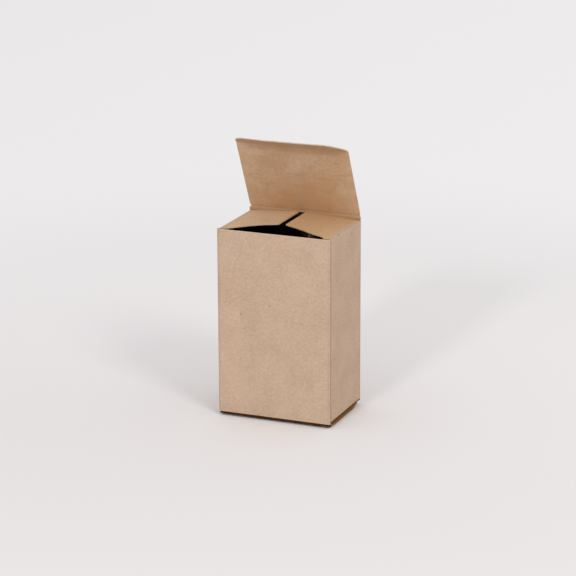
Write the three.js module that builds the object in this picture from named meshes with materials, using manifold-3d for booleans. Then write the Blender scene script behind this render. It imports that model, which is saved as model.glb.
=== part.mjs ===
// Small reverse tuck folding carton of kraft board, standing with its lid and tuck flap part open.
// Millimetres. X runs along the front panel, Y from front to back, Z up. The floor is Z = 0.
import * as THREE from 'three';
import { mergeVertices } from 'three/addons/utils/BufferGeometryUtils.js';
import Module from 'manifold-3d';

const wasm = await Module();
wasm.setup();

// Main sizes of the carton and of its board
const WIDTH = 60;
const DEPTH = 42;
const BOARD = 0.5;
const PANEL_TOP = 96.3;

// Clearances between pieces that turn on each other
const CREASE_GAP = 0.2;
const SLIDE_GAP = 0.3;

// How far a cutting solid reaches past the board, how far its outline does beside a panel,
// and how far two joined pieces of board run into each other
const CUT_PAST = 5;
const MARGIN = 1;
const OVERLAP = 0.1;

// How many steps a curved stretch of board has
const CURVE_STEPS = 6;

// Bends along the vertical creases and at the dust flaps
const CORNER_RADIUS = 0.9;
const FLAP_BEND = 1.2;

// Lid and top tuck flap
const LID_STEP = 2.1;
const LID_LEAN = 25.3;
const LID_INSET = 0.3;
const TUCK_LENGTH = 13;
const TUCK_LEAN = 68;
const TUCK_CORNER_ACROSS = 7.8;
const TUCK_CORNER_ALONG = 11.6;
const TUCK_CORNER_FLATNESS = 1.4;
const TUCK_TAPER = 0.3;
const TUCK_CORNER_STEPS = 8;
const TUCK_INSET = 0.3;
const TUCK_ROOT_INSET = 0.2;

// The slits beside the tuck crease, and the small corners of the lid at its tips and at its crease
const SLIT_LENGTH = 5;
const SLIT_SETBACK = 0.2;
const SLIT_SLANT = 0.6;
const TIP_SETBACK = 0.1;
const TIP_CORNER = 0.4;
const LID_ROOT_ACROSS = 0.5;
const LID_ROOT_ALONG = 0.8;

// Top dust flaps, folded in over the opening. Their front edges are given from the side crease inwards,
// as distance from that crease and distance behind the front panel's face.
const DUST_LENGTH_LEFT = 27.0;
const DUST_LENGTH_RIGHT = 29.5;
const DUST_RISE = 1.5;
const DUST_BACK_SETBACK = 0.9;
const DUST_BACK_TAPER = 0.2;
const SHOULDER_SETBACK = 1.8;
const DUST_FRONT_LEFT = [[2.4, 1.95], [4.4, 2.9], [6.4, 4.6], [14.2, 10.3], [20.0, 13.1], [25.6, 14.4]];
const DUST_FRONT_RIGHT = [
  [4.5, 2.0], [5.3, 3.8], [7.7, 5.3], [12.5, 7.0], [18.0, 10.1], [23.0, 12.5], [28.0, 14.4],
];
const DUST_TIP_ACROSS = 0.3;
const DUST_TIP_ALONG = 0.7;
const FLAP_ROOT = 0.6;
const PAST_FLAP = 2;

// Bottom closure with its own tuck flap, and the bottom dust flaps above it
const FLOOR_CREASE = 1.1;
const BELLY_START = 8;
const BELLY_END = 31;
const BACK_RISE = 1.9;
const CLOSURE_BEND = 1.2;
const FLOOR_TUCK_LENGTH = 12;
const FLOOR_TUCK_LEAN = 12;
const FLOOR_TUCK_GAP = 0.2;
const FLOOR_TUCK_INSET = 0.6;
const FLOOR_TUCK_CORNER = 5;
const FLOOR_TUCK_TOP_GAP = 0.3;
const CLOSURE_SHOULDER_START = 4;
const CLOSURE_SHOULDER_END = 2.5;
const CLOSURE_CLEARANCE = 0.4;
const FLOOR_DUST_LEVEL = 2.6;
const FLOOR_DUST_LENGTH = 27;
const FLOOR_DUST_SETBACK = 3.7;
const FLOOR_DUST_FRONT = 1.2;
const FLOOR_DUST_FRONT_END = 2.4;
const FLOOR_DUST_BACK_END = 12;
const FLOOR_DUST_SHOULDER = 6;
const FLOOR_DUST_TAPER = 0.3;
const BACK_PANEL_FOOT = 2.2;

// Glue flap inside the left side panel, and the open seam at that corner
const GLUE_WIDTH = 12;
const GLUE_TAPER = 3;
const GLUE_CLEARANCE = 1.5;
const SEAM_WIDTH = 0.25;
const SEAM_DEPTH = 0.2;

// Values that follow from the sizes above
const SET_BACK = BOARD / 2 + CREASE_GAP;
const BACK_AXIS = DEPTH / 2 - BOARD / 2;
const LID_AXIS_Z = PANEL_TOP + LID_STEP;
const TUCK_AXIS_Y = -DEPTH / 2 + BOARD + SLIDE_GAP + BOARD / 2;
const LID_LENGTH = BACK_AXIS - TUCK_AXIS_Y;
const rad = (degrees) => degrees * Math.PI / 180;

const KRAFT = new THREE.MeshStandardMaterial({ color: 0xc6a88c, roughness: 0.86, metalness: 0 });
const KRAFT_INSIDE = new THREE.MeshStandardMaterial({ color: 0xb38f70, roughness: 0.88, metalness: 0 });

// A closed solid for cutting and joining, from a geometry
function solid(geometry) {
  const plain = geometry.clone();
  plain.deleteAttribute('normal');
  plain.deleteAttribute('uv');
  const merged = mergeVertices(plain, 1e-5);
  return new wasm.Manifold(new wasm.Mesh({
    numProp: 3,
    vertProperties: new Float32Array(merged.attributes.position.array),
    triVerts: new Uint32Array(merged.index.array),
  }));
}

// A named mesh from a solid
function mesh(name, body, material) {
  const data = body.getMesh();
  const geometry = new THREE.BufferGeometry();
  geometry.setAttribute('position', new THREE.BufferAttribute(new Float32Array(data.vertProperties), 3));
  geometry.setIndex(new THREE.BufferAttribute(new Uint32Array(data.triVerts), 1));
  geometry.computeVertexNormals();
  const result = new THREE.Mesh(geometry, material);
  result.name = name;
  return result;
}

// A straight prism: the outline lies in the first two axes of the frame and is drawn along the third
function prism(outline, length, xAxis, yAxis, origin) {
  const shape = new THREE.Shape(outline.map(([u, v]) => new THREE.Vector2(u, v)));
  const geometry = new THREE.ExtrudeGeometry(shape, { depth: length, bevelEnabled: false });
  const u = new THREE.Vector3(...xAxis);
  const v = new THREE.Vector3(...yAxis);
  const frame = new THREE.Matrix4().makeBasis(u, v, new THREE.Vector3().crossVectors(u, v));
  frame.setPosition(new THREE.Vector3(...origin));
  geometry.applyMatrix4(frame);
  return solid(geometry);
}

// A plain box between two corners
function block(low, high) {
  const geometry = new THREE.BoxGeometry(high[0] - low[0], high[1] - low[1], high[2] - low[2]);
  geometry.translate((low[0] + high[0]) / 2, (low[1] + high[1]) / 2, (low[2] + high[2]) / 2);
  return solid(geometry);
}

// Points of a rectangle with rounded corners, centred on the origin
function roundedRectangle(width, depth, radius, steps = 5) {
  const points = [];
  for (const [sx, sy, start] of [[1, -1, -90], [1, 1, 0], [-1, 1, 90], [-1, -1, 180]]) {
    for (let i = 0; i <= steps; i += 1) {
      const angle = rad(start + 90 * i / steps);
      const x = sx * (width / 2 - radius) + radius * Math.cos(angle);
      const y = sy * (depth / 2 - radius) + radius * Math.sin(angle);
      points.push([x, y]);
    }
  }
  return points;
}

// The outline of a strip of board whose middle line runs through the given points
function thickened(line, thickness) {
  const left = [];
  const right = [];
  line.forEach(([x, y], i) => {
    const [ax, ay] = line[Math.max(i - 1, 0)];
    const [bx, by] = line[Math.min(i + 1, line.length - 1)];
    const length = Math.hypot(bx - ax, by - ay);
    const nx = -(by - ay) / length * thickness / 2;
    const ny = (bx - ax) / length * thickness / 2;
    left.push([x + nx, y + ny]);
    right.push([x - nx, y - ny]);
  });
  return left.concat(right.reverse());
}

// Points along an arc, the two ends included
function arc(centre, radius, from, to, steps = 6) {
  const points = [];
  for (let i = 0; i <= steps; i += 1) {
    const angle = rad(from + (to - from) * i / steps);
    points.push([centre[0] + radius * Math.cos(angle), centre[1] + radius * Math.sin(angle)]);
  }
  return points;
}

// A flat sheet that leans forward from an axis along X. Its outline is given as x and distance from the axis.
function leaningSheet(outline, lean, axisY, axisZ) {
  const along = [0, -Math.sin(rad(lean)), Math.cos(rad(lean))];
  const normal = [0, -Math.cos(rad(lean)), -Math.sin(rad(lean))];
  const origin = [0, axisY - normal[1] * BOARD / 2, axisZ - normal[2] * BOARD / 2];
  return prism(outline, BOARD, [1, 0, 0], along, origin);
}

// The four panels as one rounded tube, each cut to its own height
function panels() {
  const top = LID_AXIS_Z - SET_BACK;
  const outside = roundedRectangle(WIDTH, DEPTH, CORNER_RADIUS);
  const inside = roundedRectangle(WIDTH - 2 * BOARD, DEPTH - 2 * BOARD, CORNER_RADIUS - BOARD);
  const foot = [0, 0, BACK_PANEL_FOOT];
  const outer = prism(outside, top - BACK_PANEL_FOOT, [1, 0, 0], [0, 1, 0], foot);
  const inner = prism(inside, top + 4 * CUT_PAST, [1, 0, 0], [0, 1, 0], [0, 0, -2 * CUT_PAST]);
  let tube = outer.subtract(inner);
  const far = WIDTH;
  const backLine = DEPTH / 2 - CORNER_RADIUS;
  const frontLine = -DEPTH / 2 + SHOULDER_SETBACK;
  tube = tube.subtract(block([-far, -far, PANEL_TOP], [far, backLine, top + CUT_PAST]));
  for (const side of [-1, 1]) {
    const x = [side * (WIDTH / 2 - CORNER_RADIUS), side * far].sort((a, b) => a - b);
    const footFront = -DEPTH / 2 + CORNER_RADIUS;
    const dustBack = DEPTH / 2 - DUST_BACK_SETBACK;
    const bendFoot = PANEL_TOP - FLAP_BEND;
    tube = tube.subtract(block([x[0], frontLine, bendFoot], [x[1], dustBack, top + CUT_PAST]));
    const footBack = DEPTH / 2 - FLOOR_DUST_SETBACK;
    tube = tube.subtract(block([x[0], footFront, -CUT_PAST], [x[1], backLine, FLOOR_DUST_LEVEL]));
    const bendTop = FLOOR_DUST_LEVEL + FLAP_BEND;
    tube = tube.subtract(block([x[0], footFront, -CUT_PAST], [x[1], footBack, bendTop]));
  }
  const frontFoot = [far, -DEPTH / 2 + CORNER_RADIUS, FLOOR_CREASE + SET_BACK];
  return tube.subtract(block([-far, -far, -CUT_PAST], frontFoot));
}

// Middle line of a dust flap seen from the front: up the side panel, round the bend and inwards.
// The side is -1 for left and 1 for right, the turn is 1 for a top flap and -1 for a bottom flap.
function dustLine(side, turn, level, length, rise) {
  const radius = FLAP_BEND - BOARD / 2;
  const wall = WIDTH / 2 - BOARD / 2;
  const points = [[wall, -FLAP_BEND - FLAP_ROOT], ...arc([wall - radius, -FLAP_BEND], radius, 0, 90)];
  const inner = WIDTH / 2 - length;
  const start = wall - radius;
  for (let i = 1; i <= CURVE_STEPS; i += 1) {
    const share = i / CURVE_STEPS;
    points.push([start + (inner - start) * share, -BOARD / 2 + rise * share]);
  }
  return points.map(([x, z]) => [side * x, level + turn * z]);
}

// One top dust flap with its shoulder and its slanted front edge
function topDustFlap(side, length, frontEdge) {
  const outline = thickened(dustLine(side, 1, PANEL_TOP, length, DUST_RISE), BOARD);
  const flap = prism(outline, DEPTH, [1, 0, 0], [0, 0, 1], [0, DEPTH / 2, 0]);
  const back = DEPTH / 2 - DUST_BACK_SETBACK;
  const front = frontEdge.map(([inwards, behind]) => [WIDTH / 2 - inwards, -DEPTH / 2 + behind]);
  const tip = front[front.length - 1][1];
  const end = WIDTH / 2 - length;
  const plan = [
    [WIDTH / 2 + MARGIN, -DEPTH / 2 + SHOULDER_SETBACK],
    ...front,
    [end + DUST_TIP_ACROSS, tip + DUST_TIP_ALONG],
    [end - PAST_FLAP, tip + PAST_FLAP],
    [end - PAST_FLAP, back - DUST_BACK_TAPER],
    [WIDTH / 2 + MARGIN, back],
  ].map(([x, y]) => [side * x, y]);
  const cutter = prism(plan, 4 * CUT_PAST, [1, 0, 0], [0, 1, 0], [0, 0, PANEL_TOP - 2 * CUT_PAST]);
  return flap.intersect(cutter);
}

// One bottom dust flap, hidden above the bottom closure
function bottomDustFlap(side) {
  const outline = thickened(dustLine(side, -1, FLOOR_DUST_LEVEL, FLOOR_DUST_LENGTH, 0), BOARD);
  const flap = prism(outline, DEPTH, [1, 0, 0], [0, 0, 1], [0, DEPTH / 2, 0]);
  const pastEnd = WIDTH / 2 - FLOOR_DUST_LENGTH - PAST_FLAP;
  const plan = [
    [WIDTH / 2 + MARGIN, -DEPTH / 2 + FLOOR_DUST_FRONT],
    [pastEnd, -DEPTH / 2 + FLOOR_DUST_FRONT_END],
    [pastEnd, DEPTH / 2 - FLOOR_DUST_BACK_END],
    [WIDTH / 2 - FLOOR_DUST_SHOULDER, DEPTH / 2 - FLOOR_DUST_SETBACK - FLOOR_DUST_TAPER],
    [WIDTH / 2 + MARGIN, DEPTH / 2 - FLOOR_DUST_SETBACK],
  ].map(([x, y]) => [side * x, y]);
  const cutter = prism(plan, 4 * CUT_PAST, [1, 0, 0], [0, 1, 0], [0, 0, FLOOR_DUST_LEVEL - CUT_PAST]);
  return flap.intersect(cutter);
}

// The glue flap comes off the back panel and lies on the inside of the left side panel
function glueFlap() {
  const wall = -WIDTH / 2 + BOARD;
  const low = FLOOR_DUST_LEVEL + FLAP_BEND + GLUE_CLEARANCE;
  const high = PANEL_TOP - FLAP_BEND - GLUE_CLEARANCE;
  const back = DEPTH / 2 - BOARD + OVERLAP;
  const outline = [
    [back, low],
    [back, high],
    [back - GLUE_WIDTH, high - GLUE_TAPER],
    [back - GLUE_WIDTH, low + GLUE_TAPER],
  ];
  return prism(outline, BOARD + OVERLAP, [0, 1, 0], [0, 0, 1], [wall - OVERLAP, 0, 0]);
}

// The open seam where the left side panel's cut edge meets the back panel's rounded crease
function seam() {
  const y = DEPTH / 2 - CORNER_RADIUS;
  const low = [-WIDTH / 2 - MARGIN, y - SEAM_WIDTH, -CUT_PAST];
  return block(low, [-WIDTH / 2 + SEAM_DEPTH, y, LID_AXIS_Z + CUT_PAST]);
}

function cartonBody() {
  let body = panels();
  body = body.add(topDustFlap(-1, DUST_LENGTH_LEFT, DUST_FRONT_LEFT));
  body = body.add(topDustFlap(1, DUST_LENGTH_RIGHT, DUST_FRONT_RIGHT));
  for (const side of [-1, 1]) {
    body = body.add(bottomDustFlap(side));
  }
  body = body.add(glueFlap());
  return body.subtract(seam());
}

// The lid panel, with flat tips beside the slits at its front corners
function lidPanel() {
  const half = WIDTH / 2 - LID_INSET;
  const end = LID_LENGTH - SET_BACK;
  const tip = LID_LENGTH - TIP_SETBACK;
  const inner = half - SLIT_LENGTH;
  const outline = [
    [-half + LID_ROOT_ACROSS, SET_BACK],
    [half - LID_ROOT_ACROSS, SET_BACK],
    [half, SET_BACK + LID_ROOT_ALONG],
    [half, tip - TIP_CORNER],
    [half - TIP_CORNER, tip],
    [inner, tip],
    [inner - SLIT_SLANT, end],
    [-inner + SLIT_SLANT, end],
    [-inner, tip],
    [-half + TIP_CORNER, tip],
    [-half, tip - TIP_CORNER],
    [-half, SET_BACK + LID_ROOT_ALONG],
  ];
  return leaningSheet(outline, LID_LEAN, BACK_AXIS, LID_AXIS_Z);
}

// The top tuck flap, cut back beside the slits.
// A flatness over 1 makes its free corners straighter than round ones.
function tuckFlap() {
  const half = WIDTH / 2 - LID_INSET - TUCK_INSET;
  const inner = half - SLIT_LENGTH + TUCK_INSET;
  const slitStart = SET_BACK + SLIT_SETBACK;
  const right = [[inner - SLIT_SLANT, SET_BACK], [inner, slitStart], [half - TUCK_ROOT_INSET, slitStart]];
  const straight = TUCK_LENGTH - TUCK_CORNER_ALONG;
  const edge = half - TUCK_TAPER;
  for (let i = 0; i <= TUCK_CORNER_STEPS; i += 1) {
    const angle = rad(90 * i / TUCK_CORNER_STEPS);
    const x = edge - TUCK_CORNER_ACROSS * (1 - Math.max(Math.cos(angle), 0) ** TUCK_CORNER_FLATNESS);
    right.push([x, straight + TUCK_CORNER_ALONG * Math.sin(angle) ** TUCK_CORNER_FLATNESS]);
  }
  const left = right.map(([x, s]) => [-x, s]).reverse();
  const axisY = BACK_AXIS - LID_LENGTH * Math.sin(rad(LID_LEAN));
  const axisZ = LID_AXIS_Z + LID_LENGTH * Math.cos(rad(LID_LEAN));
  return leaningSheet(right.concat(left), TUCK_LEAN, axisY, axisZ);
}

// The bottom closure: a softly bowed panel from the front crease, with its tuck flap folded up at the back
function bottomClosure() {
  const half = BOARD / 2;
  const front = -DEPTH / 2 + BOARD / 2;
  const back = DEPTH / 2 - BOARD - SLIDE_GAP - half - FLOOR_TUCK_GAP;
  const line = [];
  for (let i = 0; i <= CURVE_STEPS; i += 1) {
    const share = i / CURVE_STEPS;
    const ease = 0.5 + 0.5 * Math.cos(Math.PI * share);
    const y = front + SET_BACK + (BELLY_START - SET_BACK) * share;
    line.push([y, half + (FLOOR_CREASE - half) * ease]);
  }
  const radius = CLOSURE_BEND - half;
  const bendStart = back - radius;
  const riseStart = front + BELLY_END;
  for (let i = 0; i < CURVE_STEPS; i += 1) {
    const share = i / CURVE_STEPS;
    const ease = 0.5 - 0.5 * Math.cos(Math.PI * share);
    line.push([riseStart + (bendStart - riseStart) * share, half + BACK_RISE * ease]);
  }
  const centre = [bendStart, half + BACK_RISE + radius];
  line.push(...arc(centre, radius, -90, FLOOR_TUCK_LEAN));
  const [y, z] = line[line.length - 1];
  const lean = rad(FLOOR_TUCK_LEAN);
  const top = z + FLOOR_TUCK_LENGTH * Math.cos(lean);
  line.push([y - FLOOR_TUCK_LENGTH * Math.sin(lean), top]);
  const strip = prism(thickened(line, BOARD), WIDTH, [0, 1, 0], [0, 0, 1], [-WIDTH / 2, 0, 0]);
  const wide = WIDTH / 2 - LID_INSET;
  const narrow = WIDTH / 2 - BOARD - FLOOR_TUCK_INSET;
  const plan = [
    [-wide, front - MARGIN],
    [wide, front - MARGIN],
    [wide, DEPTH / 2 - CLOSURE_SHOULDER_START],
    [narrow, DEPTH / 2 - CLOSURE_SHOULDER_END],
    [narrow, DEPTH / 2 + MARGIN],
    [-narrow, DEPTH / 2 + MARGIN],
    [-narrow, DEPTH / 2 - CLOSURE_SHOULDER_END],
    [-wide, DEPTH / 2 - CLOSURE_SHOULDER_START],
  ];
  const cutter = prism(plan, 8 * CUT_PAST, [1, 0, 0], [0, 1, 0], [0, 0, -2 * CUT_PAST]);
  return strip.intersect(cutter).intersect(closureFront(narrow, top));
}

// What the bottom closure keeps when seen from the front: the panel, and a tuck flap with rounded corners
function closureFront(narrow, top) {
  const level = FLOOR_DUST_LEVEL - CLOSURE_CLEARANCE;
  const outline = [[-WIDTH, -MARGIN], [WIDTH, -MARGIN], [WIDTH, level], [narrow, level]];
  const corner = FLOOR_TUCK_CORNER;
  const right = arc([narrow - corner, top + FLOOR_TUCK_TOP_GAP - corner], corner, 0, 90);
  const left = right.map(([x, z]) => [-x, z]).reverse();
  outline.push(...right, ...left, [-narrow, level], [-WIDTH, level]);
  return prism(outline, 2 * DEPTH, [1, 0, 0], [0, 0, 1], [0, DEPTH, 0]);
}

const carton = new THREE.Group();
carton.name = 'reverse_tuck_carton';
carton.add(mesh('carton_body', cartonBody(), KRAFT));
carton.add(mesh('top_lid', lidPanel(), KRAFT_INSIDE));
carton.add(mesh('top_tuck_flap', tuckFlap(), KRAFT_INSIDE));
carton.add(mesh('bottom_closure', bottomClosure(), KRAFT));

export default carton;
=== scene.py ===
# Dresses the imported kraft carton: soft creases, a bent lid, kraft board, floor, lamps and camera.
import math

import bpy
from mathutils import Matrix, Vector


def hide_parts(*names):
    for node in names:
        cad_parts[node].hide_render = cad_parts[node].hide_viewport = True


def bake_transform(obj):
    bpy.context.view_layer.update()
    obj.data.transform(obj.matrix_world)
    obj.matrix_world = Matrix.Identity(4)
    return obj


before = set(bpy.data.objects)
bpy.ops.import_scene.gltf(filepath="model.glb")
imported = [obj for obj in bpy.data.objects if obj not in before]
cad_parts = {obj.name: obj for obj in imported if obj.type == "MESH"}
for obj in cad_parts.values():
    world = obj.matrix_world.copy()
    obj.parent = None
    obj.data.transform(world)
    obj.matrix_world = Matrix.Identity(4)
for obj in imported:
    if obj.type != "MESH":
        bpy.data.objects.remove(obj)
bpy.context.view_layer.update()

# Sizes shared with the solids, in metres
MM = 0.001
WIDTH = 60 * MM
DEPTH = 42 * MM
BOARD = 0.5 * MM
PANEL_TOP = 96.3 * MM
CREASE_GAP = 0.2 * MM
LID_AXIS = (20.75 * MM, 98.4 * MM)
LID_LENGTH = 40.7 * MM
LID_LEAN = math.radians(25.3)
LID_INSET = 0.3 * MM
TUCK_LENGTH = 13 * MM
TUCK_LEAN = math.radians(68)
TUCK_INSET = 0.6 * MM
TUCK_CORNER_ACROSS = 7.8 * MM
TUCK_CORNER_ALONG = 11.6 * MM
TUCK_CORNER_FLATNESS = 1.4
SLIT_LENGTH = 5.0 * MM
FLOOR_AXIS = (-20.75 * MM, 1.1 * MM)
FLOOR_DUST_LEVEL = 2.6 * MM

# Values that follow from the sizes above
HALF_WIDTH = WIDTH / 2
HALF_DEPTH = DEPTH / 2
LID_HALF = HALF_WIDTH - LID_INSET
SET_BACK = BOARD / 2 + CREASE_GAP

# How the lid bends into the tuck flap: tight beside the slits, softer and a little earlier between them
FOLD_EARLY = 0.6 * MM
FOLD_TIGHT = 0.45 * MM
FOLD_SOFT = 1.9 * MM
FOLD_TIP = 0.4 * MM
FOLD_EASE = 9.5 * MM
FREE_EDGE_SAG = 0.45 * MM
FREE_EDGE_EASE = 22 * MM
LID_ROOT_INSET = 0.2 * MM

# Rows and columns of the lid's mesh. Its columns stand closer together near the sides.
LID_ROWS = 22
FOLD_ROWS = 12
TUCK_ROWS = (0.1, 0.2, 0.3, 0.385, 0.47, 0.56, 0.64, 0.71, 0.78, 0.84, 0.89, 0.93, 0.965, 0.99, 1.0)
LID_COLUMNS = 56
COLUMN_CROWDING = 1.2
SHARP_ANGLE = math.radians(40)

# Crease strips
CREASE_BOARD = BOARD * 0.92
CREASE_COLUMNS = 30
LID_CREASE_INSET = 0.4 * MM
LID_CREASE_BEND = 0.9 * MM
BOTTOM_CREASE_INSET = 1.9 * MM
BOTTOM_CREASE_BEND = 0.42 * MM
BOTTOM_CREASE_REACH = 0.8 * MM

# Board colours as linear values
OUTSIDE = (0.443, 0.305, 0.208)
OUTSIDE_PALE = (0.573, 0.424, 0.312)
INSIDE = (0.447, 0.272, 0.153)
INSIDE_PALE = (0.588, 0.402, 0.258)
WARM = (0.492, 0.286, 0.142)
LID_PALE = (0.605, 0.434, 0.294)
REDDISH = (0.560, 0.300, 0.160)
# Painted light on the dust flaps' tops
FLAP_LEFT_LIT = (0.588, 0.410, 0.256)
FLAP_RIGHT_LIT = (0.548, 0.338, 0.171)
EDGE = (0.42, 0.32, 0.235)
# Dark fibres, and painted shade where it is mixed in at creases and scores
DARK_FIBRE_AND_SHADE = (0.17, 0.090, 0.050)
FIBRE_PALE = (0.70, 0.57, 0.44)
# Painted shade deep inside the carton
DEEP_SHADE = (0.008, 0.003, 0.002)
# Painted shade under the carton and at its foot
UNDERSIDE_SHADE = (0.042, 0.014, 0.003)
# Painted shade, brown, along the bottom closure's sides
SIDE_SHADE_BROWN = (0.32, 0.150, 0.045)

# Sheen of the board, and of its shaded underside
GLOSS = 0.25
UNDERSIDE_GLOSS = 0.06
BUMP_STRENGTH = 0.25
BUMP_DISTANCE = 0.12 * MM

# Scales of the board's pattern
CLOUD_SCALE = 70.0
PULP_SCALE = 1000.0
TOOTH_SCALE = 2600.0
FIBRE_SCALE = 1300.0
SLANT_SCALE = 800.0
LIGHT_FIBRE_SCALE = 1150.0
DARK_FLECK_SCALE = 130.0
PALE_FLECK_SCALE = 105.0
LID_BLOTCH_SCALE = 60.0
LID_FADE_SCALE = 95.0
LID_STREAK_SCALE = 520.0
INSIDE_CLOUD_SCALE = 140.0
WEAR_SCALE = 420.0
CLOSURE_SHADE_SCALE = 260.0

# Stretches of the lid, in height and across, over which its colour changes
LID_WARM_HEIGHT = (128 * MM, 100 * MM)
LID_WARM_ACROSS = (36 * MM, 4 * MM)
FOLD_RUB_START = (134.6 * MM, 135.6 * MM)
FOLD_RUB_END = (139.0 * MM, 136.6 * MM)
TUCK_SHADE = (134.4 * MM, 135.4 * MM)
TURN_START = (131.0 * MM, 132.4 * MM)
TURN_END = (134.8 * MM, 133.6 * MM)
TURN_FROM_SIDE = (1.0 * MM, 8.0 * MM)
LID_CREASE_SHADE = (100.2 * MM, 98.8 * MM)

# Stretches of the body over which its colour changes
UNDER_LID_CREASE_SHADE = (PANEL_TOP - 0.6 * MM, PANEL_TOP + 0.2 * MM)
FLAP_TOPS = (PANEL_TOP - 0.5 * MM, PANEL_TOP + 0.1 * MM)
FLAP_FROM_SIDE = (0.2 * MM, 5 * MM)
FLAP_BACK = (HALF_DEPTH - 0.60 * MM, HALF_DEPTH - 0.80 * MM)
LEFT_TO_RIGHT_FLAP = (-6 * MM, 2 * MM)
INNER_FACE_X = (HALF_WIDTH - 0.32 * MM, HALF_WIDTH - 0.42 * MM)
INNER_FACE_Y = (HALF_DEPTH - 0.32 * MM, HALF_DEPTH - 0.42 * MM)
BELOW_FLAPS = (PANEL_TOP - 0.18 * MM, PANEL_TOP - 0.42 * MM)
BACK_PANEL = (HALF_DEPTH - 0.80 * MM, HALF_DEPTH - 0.70 * MM)
DARK_FROM = (PANEL_TOP + 0.6 * MM, PANEL_TOP - 0.8 * MM)
DARK_DOWN_TO = (PANEL_TOP - 94 * MM, PANEL_TOP - 60 * MM)
FOOT_BEND = (FLOOR_DUST_LEVEL + 0.85 * MM, FLOOR_DUST_LEVEL + 0.45 * MM)
FOOT_BEND_CLEAR = (0.8 * MM, 1.2 * MM)
CORNER_RUB = (0.55 * MM, 0.05 * MM)
SCORE_SHADE_START = (0.15 * MM, 0.55 * MM)
SCORE_SHADE_END = (1.7 * MM, 0.95 * MM)
SIDE_FACE = (0.30 * MM, 0.10 * MM)
CUT_TOP = (PANEL_TOP - 0.16 * MM, PANEL_TOP - 0.06 * MM)
CUT_FRONT = (-HALF_DEPTH + 0.9 * MM, -HALF_DEPTH + 0.6 * MM)

# Painted light on the patch of the back panel that light reaches past the right dust flap, and painted shade
# at the end
# of the slot between the flaps: their middles, and the distances from there at which they fade out
LIT_PLACE = (1.6 * MM, PANEL_TOP - 10.8 * MM)
LIT_WIDTH = (4.2 * MM, 2.4 * MM)
LIT_HEIGHT = (5.0 * MM, 3.0 * MM)
SLOT_MIDDLE = -1.0 * MM
SLOT_WIDTH = (3.2 * MM, 2.2 * MM)
SLOT_TOP = (PANEL_TOP + 1.5 * MM, PANEL_TOP + 0.9 * MM)

# Stretches of the bottom closure over which its colour changes
CLOSURE_FRONT = (-HALF_DEPTH + 3.4 * MM, -HALF_DEPTH + 1.8 * MM)
CLOSURE_SIDE = (3.8 * MM, 2.4 * MM)

# Floor and backdrop
FLOOR_HALF = 6
FLOOR_NEAR = (0.750, 0.736, 0.741)
FLOOR_FAR = (0.842, 0.826, 0.832)
FLOOR_NEAR_TO_FAR = (-0.16, 0.24)
FLOOR_DRIFT_SCALE = 3.0
FLOOR_DRIFT = 0.06
FLOOR_TO_BACKDROP = (0.20, 0.52)
BACKDROP_LEFT = (0.800, 0.785, 0.792)
BACKDROP_RIGHT = (0.880, 0.865, 0.872)
BACKDROP_SPAN = (-1.6, 1.0)

# Lamps as name, place, side and colour, and the light of the room
LAMPS = (
    ("front_softbox", (-0.07, -1.32, 0.77), 0.17, (1.0, 0.985, 0.975)),
    ("right_softbox", (0.96, -0.70, 0.98), 0.34, (1.0, 0.965, 0.925)),
)
LAMP_TARGET = (0, 0, 0.07)
LAMP_POWER = 5.0
ROOM = (0.985, 0.97, 0.975)
ROOM_STRENGTH = 0.80
FAR_BACKDROP = (0.85, 0.835, 0.84)

# The photograph's viewpoint
CAMERA_PLACE = (0.4559, -1.0988, 0.4097)
CAMERA_YAW = math.radians(-22.572)
CAMERA_PITCH = math.radians(16.221)
CAMERA_ROLL = math.radians(-0.238)
FOCAL_PIXELS = 2491.4
PICTURE_PIXELS = 576
SENSOR = 36


# Shader maths

class Term:
    """A shader value that can be used in sums, products and differences."""

    def __init__(self, tree, socket):
        self.tree = tree
        self.socket = socket

    def maths(self, operation, first, second=None):
        node = self.tree.nodes.new("ShaderNodeMath")
        node.operation = operation
        for index, value in enumerate((first, second)):
            if isinstance(value, Term):
                self.tree.links.new(value.socket, node.inputs[index])
            elif value is not None:
                node.inputs[index].default_value = value
        return Term(self.tree, node.outputs[0])

    def __add__(self, other):
        return self.maths("ADD", self, other)

    def __radd__(self, other):
        return self.maths("ADD", other, self)

    def __sub__(self, other):
        return self.maths("SUBTRACT", self, other)

    def __rsub__(self, other):
        return self.maths("SUBTRACT", other, self)

    def __mul__(self, other):
        return self.maths("MULTIPLY", self, other)

    def size(self):
        return self.maths("ABSOLUTE", self)

    def root(self):
        return self.maths("SQRT", self)

    def least(self, other):
        return self.maths("MINIMUM", self, other)

    def most(self, other):
        return self.maths("MAXIMUM", self, other)

    def ramp(self, low, high):
        """0 below low, 1 above high and smooth between them. low may be the larger one."""
        node = self.tree.nodes.new("ShaderNodeMapRange")
        node.interpolation_type = "SMOOTHSTEP"
        self.tree.links.new(self.socket, node.inputs["Value"])
        start, end, low_value, high_value = (low, high, 0.0, 1.0) if low < high else (high, low, 1.0, 0.0)
        node.inputs["From Min"].default_value = start
        node.inputs["From Max"].default_value = end
        node.inputs["To Min"].default_value = low_value
        node.inputs["To Max"].default_value = high_value
        return Term(self.tree, node.outputs["Result"])


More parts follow.
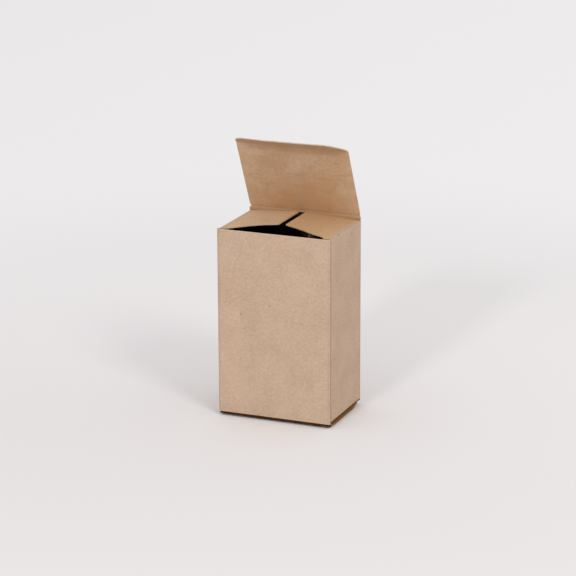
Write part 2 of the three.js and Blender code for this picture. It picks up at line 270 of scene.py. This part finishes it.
class Finish:
    """One material under construction."""

    def __init__(self, name):
        self.material = bpy.data.materials.new(name)
        self.material.use_nodes = True
        self.tree = self.material.node_tree
        self.shader = self.tree.nodes["Principled BSDF"]
        self.place = self.node("ShaderNodeTexCoord").outputs["Object"]

    def node(self, kind, settings=(), values=()):
        made = self.tree.nodes.new(kind)
        for name, value in dict(settings).items():
            setattr(made, name, value)
        for name, value in dict(values).items():
            self.feed(made.inputs[name], value)
        return made

    def feed(self, socket, value):
        if isinstance(value, Term):
            self.tree.links.new(value.socket, socket)
        elif isinstance(value, bpy.types.NodeSocket):
            self.tree.links.new(value, socket)
        else:
            socket.default_value = value

    def keep_flat_place(self):
        """Lets the pattern stay with the board when it bends, by the place each point had before bending."""
        kind = {"attribute_type": "GEOMETRY", "attribute_name": "flat_place"}
        self.place = self.node("ShaderNodeAttribute", kind).outputs["Vector"]

    def axes(self):
        parts = self.node("ShaderNodeSeparateXYZ", {}, {"Vector": self.place})
        return [Term(self.tree, parts.outputs[axis]) for axis in "XYZ"]

    def stretched(self, x, y, z):
        values = {0: self.place, 1: (x, y, z)}
        return self.node("ShaderNodeVectorMath", {"operation": "MULTIPLY"}, values).outputs["Vector"]

    def noise(self, vector, scale, detail=2.0, roughness=0.5):
        values = {"Vector": vector, "Scale": scale, "Detail": detail, "Roughness": roughness}
        made = self.node("ShaderNodeTexNoise", {"noise_dimensions": "3D"}, values)
        return Term(self.tree, made.outputs["Fac"])

    def mix(self, share, first, second):
        made = self.node("ShaderNodeMix", {"data_type": "RGBA"})
        self.feed(made.inputs[0], share)
        for index, value in ((6, first), (7, second)):
            linked = isinstance(value, bpy.types.NodeSocket)
            self.feed(made.inputs[index], value if linked else (*value, 1.0))
        return made.outputs[2]


# Kraft board finishes

def shade(colour, amount):
    return tuple(value * amount for value in colour)


def fibres(finish, stretch, scale, low, high):
    """Thin specks and fibres drawn out along one direction."""
    return finish.noise(finish.stretched(*stretch), scale, 3.0, 0.62).ramp(low, high)


def flecks(finish, scale, size, rarity):
    """Small scattered specks of odd pulp, one in a few cells."""
    values = {"Vector": finish.place, "Scale": scale}
    made = finish.node("ShaderNodeTexVoronoi", {"feature": "F1"}, values)
    near = Term(finish.tree, made.outputs["Distance"]).ramp(size, size * 0.45)
    parts = finish.node("ShaderNodeSeparateColor", {}, {"Color": made.outputs["Color"]})
    return near * Term(finish.tree, parts.outputs["Red"]).ramp(rarity, rarity + 0.02)


def board_grain(finish, base, pale):
    """Colour, height and tone of unprinted kraft board: cloudy pulp, fine tooth, dark and pale fibres."""
    cloud = finish.noise(finish.place, CLOUD_SCALE, 3.0, 0.55)
    pulp = finish.noise(finish.stretched(0.8, 0.8, 1.0), PULP_SCALE, 4.0, 0.68)
    tooth = finish.noise(finish.place, TOOTH_SCALE, 2.0, 0.6)
    upright = fibres(finish, (1.0, 1.0, 0.22), FIBRE_SCALE, 0.66, 0.76)
    lying = fibres(finish, (0.35, 0.35, 1.0), FIBRE_SCALE, 0.62, 0.74)
    slant = fibres(finish, (1.0, 0.5, 0.4), SLANT_SCALE, 0.70, 0.78)
    light_fibre = fibres(finish, (0.4, 0.4, 0.9), LIGHT_FIBRE_SCALE, 0.62, 0.74)
    tone = cloud.ramp(0.30, 0.70) * 0.30 + pulp.ramp(0.34, 0.66) * 0.50 + tooth.ramp(0.3, 0.7) * 0.20
    colour = finish.mix(tone, base, pale)
    colour = finish.mix(lying * 0.26 + upright * 0.10 + slant * 0.16, colour, DARK_FIBRE_AND_SHADE)
    colour = finish.mix(light_fibre * 0.26, colour, FIBRE_PALE)
    colour = finish.mix(flecks(finish, DARK_FLECK_SCALE, 0.075, 0.70) * 0.62, colour, DARK_FIBRE_AND_SHADE)
    colour = finish.mix(flecks(finish, PALE_FLECK_SCALE, 0.055, 0.72) * 0.65, colour, FIBRE_PALE)
    height = pulp * 0.55 + tooth * 0.45 - lying * 0.15 + light_fibre * 0.12
    return colour, height, tone


def board_surface(finish, colour, height, tone, gloss=GLOSS):
    """Feeds a finish's shader: matte board with a shallow bump."""
    values = {"Strength": BUMP_STRENGTH, "Distance": BUMP_DISTANCE, "Height": height}
    bump = finish.node("ShaderNodeBump", {}, values)
    finish.feed(finish.shader.inputs["Base Color"], colour)
    finish.feed(finish.shader.inputs["Roughness"], 0.90 - tone * 0.12)
    finish.feed(finish.shader.inputs["Normal"], bump.outputs["Normal"])
    finish.shader.inputs["Specular IOR Level"].default_value = gloss
    return finish.material


def plain_board(name, base, pale, gloss=GLOSS):
    finish = Finish(name)
    finish.keep_flat_place()
    colour, height, tone = board_grain(finish, base, pale)
    return board_surface(finish, colour, height, tone, gloss)


def lid_inside_board():
    """The inside of the lid: brown, streaky, warmer towards the dust flaps, with painted shade at and past
    the tuck crease and at the lid's crease.
    """
    finish = Finish("kraft_lid_inside")
    finish.keep_flat_place()
    x, _, z = finish.axes()
    colour, height, tone = board_grain(finish, INSIDE, INSIDE_PALE)
    blotch = finish.noise(finish.stretched(1.0, 1.0, 0.7), LID_BLOTCH_SCALE, 3.0, 0.6)
    faded = finish.noise(finish.stretched(1.0, 1.0, 0.8), LID_FADE_SCALE, 3.0, 0.6)
    low = z.ramp(*LID_WARM_HEIGHT) * x.size().ramp(*LID_WARM_ACROSS)
    colour = finish.mix((low * 0.62 + blotch.ramp(0.42, 0.66) * 0.50).least(0.9), colour, WARM)
    colour = finish.mix(faded.ramp(0.50, 0.66) * (1 - low) * 0.45, colour, LID_PALE)
    streak = fibres(finish, (0.12, 0.12, 1.0), LID_STREAK_SCALE, 0.56, 0.72)
    colour = finish.mix(streak * 0.14, colour, DARK_FIBRE_AND_SHADE)
    rubbed_fold = z.ramp(*FOLD_RUB_START) * z.ramp(*FOLD_RUB_END)
    colour = finish.mix(rubbed_fold * (0.30 + faded * 0.45), colour, REDDISH)
    colour = finish.mix(z.ramp(*TUCK_SHADE) * 0.10, colour, DARK_FIBRE_AND_SHADE)
    # Painted shade where the board starts to turn into the tuck flap, between the slits
    turn_shade = z.ramp(*TURN_START) * z.ramp(*TURN_END)
    turn_shade = turn_shade * (LID_HALF - x.size()).ramp(*TURN_FROM_SIDE)
    colour = finish.mix(turn_shade * 0.17, colour, DARK_FIBRE_AND_SHADE)
    colour = finish.mix(z.ramp(*LID_CREASE_SHADE) * 0.10, colour, DARK_FIBRE_AND_SHADE)
    return board_surface(finish, colour, height, tone)


def flap_tops_painted_light(finish, outside, tone, x, y, z):
    """Painted light: the dust flaps' tops are paler and warmer, the right one warmer than the left, as if
    lit from above.
    """
    lit_flap_tops = z.ramp(*FLAP_TOPS) * (HALF_WIDTH - x.size()).ramp(*FLAP_FROM_SIDE) * y.ramp(*FLAP_BACK)
    right_flap = x.ramp(*LEFT_TO_RIGHT_FLAP)
    dark = finish.mix(right_flap, shade(FLAP_LEFT_LIT, 0.86), shade(FLAP_RIGHT_LIT, 0.86))
    pale = finish.mix(right_flap, shade(FLAP_LEFT_LIT, 1.14), shade(FLAP_RIGHT_LIT, 1.14))
    return finish.mix(lit_flap_tops * 0.82, outside, finish.mix(tone, dark, pale))


def shaded_inside(finish, colour, within, back_panel, x, z):
    """Painted shade: the inside darkens with depth, but for a painted pool of light on one patch of the back
    panel, past the right flap.
    """
    depth_shade = z.ramp(*DARK_FROM) * z.ramp(*DARK_DOWN_TO)
    lit = back_panel * (x - LIT_PLACE[0]).size().ramp(*LIT_WIDTH)
    lit = lit * (z - LIT_PLACE[1]).size().ramp(*LIT_HEIGHT)
    colour = finish.mix(within * depth_shade * (0.995 - lit * 0.80), colour, DEEP_SHADE)
    # The end of the slot between the dust flaps is in deep shade
    slot_end = back_panel * (x - SLOT_MIDDLE).size().ramp(*SLOT_WIDTH) * z.ramp(*SLOT_TOP)
    return finish.mix(within * slot_end * 0.97, colour, DEEP_SHADE)


def creased_and_cut(finish, colour, within, x, y, z):
    """Scored corners with painted shade beside them, darker on the side panels, a paler rub along the very
    edge, and cut panel tops.
    """
    from_side = HALF_WIDTH - x.size()
    from_corner = from_side.most(HALF_DEPTH - y.size())
    rub = from_corner.ramp(*CORNER_RUB)
    wear = finish.noise(finish.stretched(1.0, 1.0, 0.35), WEAR_SCALE, 3.0, 0.6).ramp(0.42, 0.66)
    on_side = from_side.ramp(*SIDE_FACE)
    # Painted shade beside the scored corners, stronger on the side panels
    score = from_corner.ramp(*SCORE_SHADE_START) * from_corner.ramp(*SCORE_SHADE_END)
    colour = finish.mix(score * (1 - within) * (0.10 + on_side * 0.30), colour, DARK_FIBRE_AND_SHADE)
    colour = finish.mix(rub * wear * (1 - within) * 0.30, colour, FIBRE_PALE)
    cut = z.ramp(*CUT_TOP) * y.ramp(*CUT_FRONT)
    return finish.mix(cut * 0.75, colour, FIBRE_PALE)


def body_board():
    """The folded body: pale outside, browner inside, scored creases, cut edges along the panel tops, and
    painted light and shade.
    """
    finish = Finish("kraft_body_board")
    x, y, z = finish.axes()
    outside, height, tone = board_grain(finish, OUTSIDE, OUTSIDE_PALE)
    cloud = finish.noise(finish.place, INSIDE_CLOUD_SCALE, 3.0, 0.6)
    inside = finish.mix(cloud.ramp(0.3, 0.7), INSIDE, INSIDE_PALE)
    # Painted shade: the inside of the back panel just under the lid's crease is darker and warmer
    inside = finish.mix(z.ramp(*UNDER_LID_CREASE_SHADE) * 0.8, inside, shade(WARM, 0.80))
    # Painted light on the dust flaps' tops
    outside = flap_tops_painted_light(finish, outside, tone, x, y, z)
    within_walls = x.size().ramp(*INNER_FACE_X) * y.size().ramp(*INNER_FACE_Y)
    back_panel = y.ramp(*BACK_PANEL)
    within = within_walls * z.ramp(*BELOW_FLAPS).most(back_panel)
    colour = finish.mix(within, outside, inside)
    colour = shaded_inside(finish, colour, within, back_panel, x, z)
    # Painted shade on the bottom dust flaps' bends, which are in shade behind the gap under the side panels
    foot_bend_shade = z.ramp(*FOOT_BEND) * (HALF_DEPTH - y.size()).ramp(*FOOT_BEND_CLEAR)
    colour = finish.mix(foot_bend_shade * 0.92, colour, UNDERSIDE_SHADE)
    colour = creased_and_cut(finish, colour, within, x, y, z)
    return board_surface(finish, colour, height, tone)


def closure_board():
    """The bottom closure: kraft board with uneven painted shade, brown along its cut sides and near black at
    its front crease.
    """
    finish = Finish("kraft_closure_board")
    x, y, _ = finish.axes()
    colour, height, tone = board_grain(finish, OUTSIDE, OUTSIDE_PALE)
    front_shade = y.ramp(*CLOSURE_FRONT)
    side_shade = (HALF_WIDTH - x.size()).ramp(*CLOSURE_SIDE)
    uneven_shade = finish.noise(finish.place, CLOSURE_SHADE_SCALE, 3.0, 0.6).ramp(0.2, 0.7)
    # Painted shade, uneven: brown along the sides, near black along the front crease
    colour = finish.mix(side_shade * (0.75 + uneven_shade * 0.2), colour, SIDE_SHADE_BROWN)
    colour = finish.mix(front_shade * (0.85 + uneven_shade * 0.12), colour, UNDERSIDE_SHADE)
    return board_surface(finish, colour, height, tone, UNDERSIDE_GLOSS)


def floor_paint():
    """A pale floor that takes the shadow near the carton and reads as an even backdrop further away. Painted
    shade makes the floor darker towards the front, and painted light makes the backdrop brighter to the
    right.
    """
    finish = Finish("pale_floor")
    x, y, _ = finish.axes()
    drift = finish.noise(finish.place, FLOOR_DRIFT_SCALE, 2.0, 0.5)
    towards_back = (y + drift * FLOOR_DRIFT).ramp(*FLOOR_NEAR_TO_FAR)
    finish.feed(finish.shader.inputs["Base Color"], finish.mix(towards_back, FLOOR_NEAR, FLOOR_FAR))
    finish.shader.inputs["Roughness"].default_value = 0.95
    finish.shader.inputs["Specular IOR Level"].default_value = 0.1
    rays = finish.node("ShaderNodeLightPath")
    seen = Term(finish.tree, rays.outputs["Is Camera Ray"])
    seen = seen.most(Term(finish.tree, rays.outputs["Is Glossy Ray"]))
    reach = (x * x + y * y).root()
    backdrop = finish.mix(x.ramp(*BACKDROP_SPAN), BACKDROP_LEFT, BACKDROP_RIGHT)
    even = finish.node("ShaderNodeEmission", {}, {"Color": backdrop, "Strength": 1.0})
    blend = finish.node("ShaderNodeMixShader", {}, {0: seen * reach.ramp(*FLOOR_TO_BACKDROP)})
    finish.tree.links.new(finish.shader.outputs[0], blend.inputs[1])
    finish.tree.links.new(even.outputs[0], blend.inputs[2])
    output = finish.tree.nodes["Material Output"]
    finish.tree.links.new(blend.outputs[0], output.inputs["Surface"])
    return finish.material


# Mesh helpers

def new_object(name, vertices, faces):
    data = bpy.data.meshes.new(name)
    data.from_pydata(vertices, [], faces)
    data.update()
    made = bpy.data.objects.new(name, data)
    bpy.context.collection.objects.link(made)
    return made


def grid_face(row, column, columns):
    """The four corners of one face in a grid of points that is so many faces wide."""
    first = row * (columns + 1) + column
    below = first + columns + 1
    return first, below, below + 1, first + 1


def thickened_sheet(piece, thickness, materials):
    """Gives a sheet its board thickness. The materials are for its outside, its inside and its cut edges."""
    for material in materials:
        piece.data.materials.append(material)
    wall = piece.modifiers.new("board", "SOLIDIFY")
    wall.thickness = thickness
    wall.offset = 0.0
    wall.use_even_offset = True
    wall.use_rim = True
    wall.material_offset = 1
    wall.material_offset_rim = 2
    evaluated = piece.evaluated_get(bpy.context.evaluated_depsgraph_get())
    solid = bpy.data.meshes.new_from_object(evaluated)
    piece.modifiers.clear()
    piece.data = solid
    for face in piece.data.polygons:
        face.use_smooth = face.material_index != 2
    piece.data.set_sharp_from_angle(angle=SHARP_ANGLE)
    places = piece.data.attributes.new("flat_place", "FLOAT_VECTOR", "POINT")
    for vertex, place in zip(piece.data.vertices, places.data):
        place.vector = vertex.co


def bent_path(axis, first, second, radius, reach, steps=10):
    """Points in Y and Z from one board, round a soft bend at an axis, to the next.
    Both directions point away from the axis, and the path reaches equally far along each."""
    turn = math.acos(max(-1.0, min(1.0, -first.dot(second))))
    tangent = radius * math.tan(turn / 2)
    start = axis + first * tangent
    end = axis + second * tangent
    points = []
    if reach > tangent:
        points.append(axis + first * reach)
    for index in range(steps + 1):
        t = index / steps
        points.append(start * (1 - t) ** 2 + axis * 2 * t * (1 - t) + end * t ** 2)
    if reach > tangent:
        points.append(axis + second * reach)
    return points


# Lid and tuck flap, one sheet with a soft crease between them

def leaning(angle):
    """The direction up a board that leans forward from upright by an angle."""
    return Vector((0, -math.sin(angle), math.cos(angle)))


def lid_origin():
    return Vector((0, LID_AXIS[0], LID_AXIS[1]))


def lid_corner():
    return lid_origin() + leaning(LID_LEAN) * LID_LENGTH


def tuck_half_width(s):
    """Half width of the tuck flap at a distance from its crease, with its rounded free corners."""
    half = LID_HALF - TUCK_INSET
    straight = TUCK_LENGTH - TUCK_CORNER_ALONG
    if s <= straight:
        return half
    rise = min((s - straight) / TUCK_CORNER_ALONG, 1.0) ** (1 / TUCK_CORNER_FLATNESS)
    return half - TUCK_CORNER_ACROSS * (1 - math.sqrt(max(1 - rise * rise, 0.0)) ** TUCK_CORNER_FLATNESS)


def eased(share):
    share = min(max(share, 0.0), 1.0)
    return share * share * (3 - 2 * share)


def along_lid_and_tuck(x, kind, share):
    """A point in Y and Z on the sheet's middle, in its lid, its fold or its tuck flap.
    Beside the slits the fold is tight and at the lid's very end. Between them the board folds
    a little earlier, so the tips stand up beside it."""
    lid = leaning(LID_LEAN)
    corner = lid_corner()
    from_side = LID_HALF - abs(x)
    between_slits = eased((from_side - FOLD_TIP) / FOLD_EASE)
    fold = corner - lid * FOLD_EARLY * between_slits
    sag = FREE_EDGE_SAG * eased(from_side / FREE_EDGE_EASE)
    edge = corner + leaning(TUCK_LEAN) * TUCK_LENGTH - lid * sag
    onward = (edge - fold).normalized()
    reach = FOLD_TIGHT + (FOLD_SOFT - FOLD_TIGHT) * between_slits
    start = fold - lid * reach
    end = fold + onward * reach
    if kind == "lid":
        return (lid_origin() + lid * SET_BACK).lerp(start, share)
    if kind == "fold":
        return start * (1 - share) ** 2 + fold * 2 * share * (1 - share) + end * share ** 2
    return end.lerp(edge, share)


def lid_and_tuck(outside, inside, edge):
    """Columns run across the sheet and rows run from the lid's crease to the tuck flap's free edge."""
    rows = [("lid", i / LID_ROWS) for i in range(LID_ROWS)]
    rows += [("fold", i / FOLD_ROWS) for i in range(FOLD_ROWS + 1)]
    rows += [("tuck", share) for share in TUCK_ROWS]
    slit_row = LID_ROWS + FOLD_ROWS // 2
    even_places = [-1 + 2 * column / LID_COLUMNS for column in range(LID_COLUMNS + 1)]
    places = [math.copysign(1 - (1 - abs(u)) ** COLUMN_CROWDING, u) for u in even_places]
    vertices = []
    for row, (kind, share) in enumerate(rows):
        if kind == "lid":
            half = LID_HALF - (LID_ROOT_INSET if row == 0 else 0)
        elif kind == "fold":
            half = LID_HALF - (0 if row <= slit_row else TUCK_INSET)
        else:
            half = tuck_half_width(TUCK_LENGTH * share)
        for place in places:
            point = along_lid_and_tuck(place * half, kind, share)
            vertices.append((place * half, point.y, point.z))
    faces = []
    for row in range(len(rows) - 1):
        for column in range(LID_COLUMNS):
            middle = abs(places[column] + places[column + 1]) / 2 * LID_HALF
            if row == slit_row and middle > LID_HALF - SLIT_LENGTH:
                continue
            faces.append(grid_face(row, column, LID_COLUMNS))
    piece = new_object("lid_and_tuck_flap", vertices, faces)
    thickened_sheet(piece, BOARD, [outside, inside, edge])
    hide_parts("top_lid", "top_tuck_flap")
    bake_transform(piece)


# Crease strips, which close the gap at a hinge. They are a little thinner than the board, as a score is.

def crease_strip(name, half_width, path, materials):
    vertices = []
    for point in path:
        for column in range(CREASE_COLUMNS + 1):
            vertices.append((half_width * (-1 + 2 * column / CREASE_COLUMNS), point.y, point.z))
    faces = []
    for row in range(len(path) - 1):
        for column in range(CREASE_COLUMNS):
            faces.append(grid_face(row, column, CREASE_COLUMNS))
    piece = new_object(name, vertices, faces)
    thickened_sheet(piece, CREASE_BOARD, materials)
    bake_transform(piece)


def lid_crease(materials):
    axis = lid_origin()
    down = Vector((0, 0, -1))
    up_lid = leaning(LID_LEAN)
    path = bent_path(axis, down, up_lid, LID_CREASE_BEND, LID_CREASE_BEND)
    half = LID_HALF - LID_CREASE_INSET
    crease_strip("lid_crease", half, path, materials)


def bottom_crease(materials):
    axis = Vector((0, FLOOR_AXIS[0], FLOOR_AXIS[1]))
    up = Vector((0, 0, 1))
    inward = Vector((0, 1, 0))
    path = bent_path(axis, up, inward, BOTTOM_CREASE_BEND, BOTTOM_CREASE_REACH)
    half = LID_HALF - BOTTOM_CREASE_INSET
    crease_strip("bottom_crease", half, path, materials)


# Floor, lamps and camera

def floor():
    corners = [(x * FLOOR_HALF, y * FLOOR_HALF, 0) for x, y in ((-1, -1), (1, -1), (1, 1), (-1, 1))]
    plane = new_object("floor", corners, [(0, 1, 2, 3)])
    plane.data.materials.append(floor_paint())


def lamp(name, place, side, colour):
    data = bpy.data.lights.new(name, "AREA")
    data.shape = "RECTANGLE"
    data.size = side
    data.size_y = side
    data.energy = LAMP_POWER
    data.color = colour
    made = bpy.data.objects.new(name, data)
    bpy.context.collection.objects.link(made)
    made.location = place
    made.rotation_euler = (Vector(LAMP_TARGET) - Vector(place)).to_track_quat("-Z", "Y").to_euler()


def room_light():
    """An even light from all round, and a plain backdrop where the camera sees past the floor."""
    world = bpy.data.worlds.new("studio")
    bpy.context.scene.world = world
    world.use_nodes = True
    nodes = world.node_tree.nodes
    links = world.node_tree.links
    nodes.clear()
    path = nodes.new("ShaderNodeLightPath")
    room = nodes.new("ShaderNodeBackground")
    room.inputs["Color"].default_value = (*ROOM, 1)
    room.inputs["Strength"].default_value = ROOM_STRENGTH
    backdrop = nodes.new("ShaderNodeBackground")
    backdrop.inputs["Color"].default_value = (*FAR_BACKDROP, 1)
    backdrop.inputs["Strength"].default_value = 1.0
    seen = nodes.new("ShaderNodeMath")
    seen.operation = "MAXIMUM"
    links.new(path.outputs["Is Camera Ray"], seen.inputs[0])
    links.new(path.outputs["Is Glossy Ray"], seen.inputs[1])
    blend = nodes.new("ShaderNodeMixShader")
    links.new(seen.outputs[0], blend.inputs[0])
    links.new(room.outputs[0], blend.inputs[1])
    links.new(backdrop.outputs[0], blend.inputs[2])
    output = nodes.new("ShaderNodeOutputWorld")
    links.new(blend.outputs[0], output.inputs["Surface"])


def lights():
    for name, place, side, colour in LAMPS:
        lamp(name, place, side, colour)
    room_light()


def camera():
    """A long lens from the front right, looking a little down, as in the photograph."""
    ahead = math.cos(CAMERA_PITCH)
    forward = Vector((math.sin(CAMERA_YAW) * ahead, math.cos(CAMERA_YAW) * ahead, -math.sin(CAMERA_PITCH)))
    level = Vector((math.cos(CAMERA_YAW), -math.sin(CAMERA_YAW), 0))
    upward = level.cross(forward)
    right = level * math.cos(CAMERA_ROLL) + upward * math.sin(CAMERA_ROLL)
    up = upward * math.cos(CAMERA_ROLL) - level * math.sin(CAMERA_ROLL)
    data = bpy.data.cameras.new("photo_camera")
    data.sensor_fit = "HORIZONTAL"
    data.sensor_width = SENSOR
    data.lens = FOCAL_PIXELS * SENSOR / PICTURE_PIXELS
    data.clip_start = 0.05
    made = bpy.data.objects.new("photo_camera", data)
    bpy.context.collection.objects.link(made)
    turn = Matrix((right, up, -forward)).transposed().to_4x4()
    made.matrix_world = Matrix.Translation(CAMERA_PLACE) @ turn
    bpy.context.scene.camera = made


def dress():
    outside = plain_board("kraft_outside_board", OUTSIDE, OUTSIDE_PALE)
    edge = plain_board("kraft_cut_edge", EDGE, FIBRE_PALE)
    # The bottom crease strip is near black, painted shade
    fold = plain_board("kraft_bottom_fold_shade", UNDERSIDE_SHADE, shade(UNDERSIDE_SHADE, 1.6), UNDERSIDE_GLOSS)
    for name, material in (("carton_body", body_board()), ("bottom_closure", closure_board())):
        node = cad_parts[name]
        node.data.materials.clear()
        node.data.materials.append(material)
    lid_inside = lid_inside_board()
    lid_and_tuck(outside, lid_inside, edge)
    lid_crease([outside, lid_inside, lid_inside])
    bottom_crease([fold, fold, fold])


camera()
floor()
lights()
dress()
bpy.context.scene.view_settings.view_transform = "Standard"
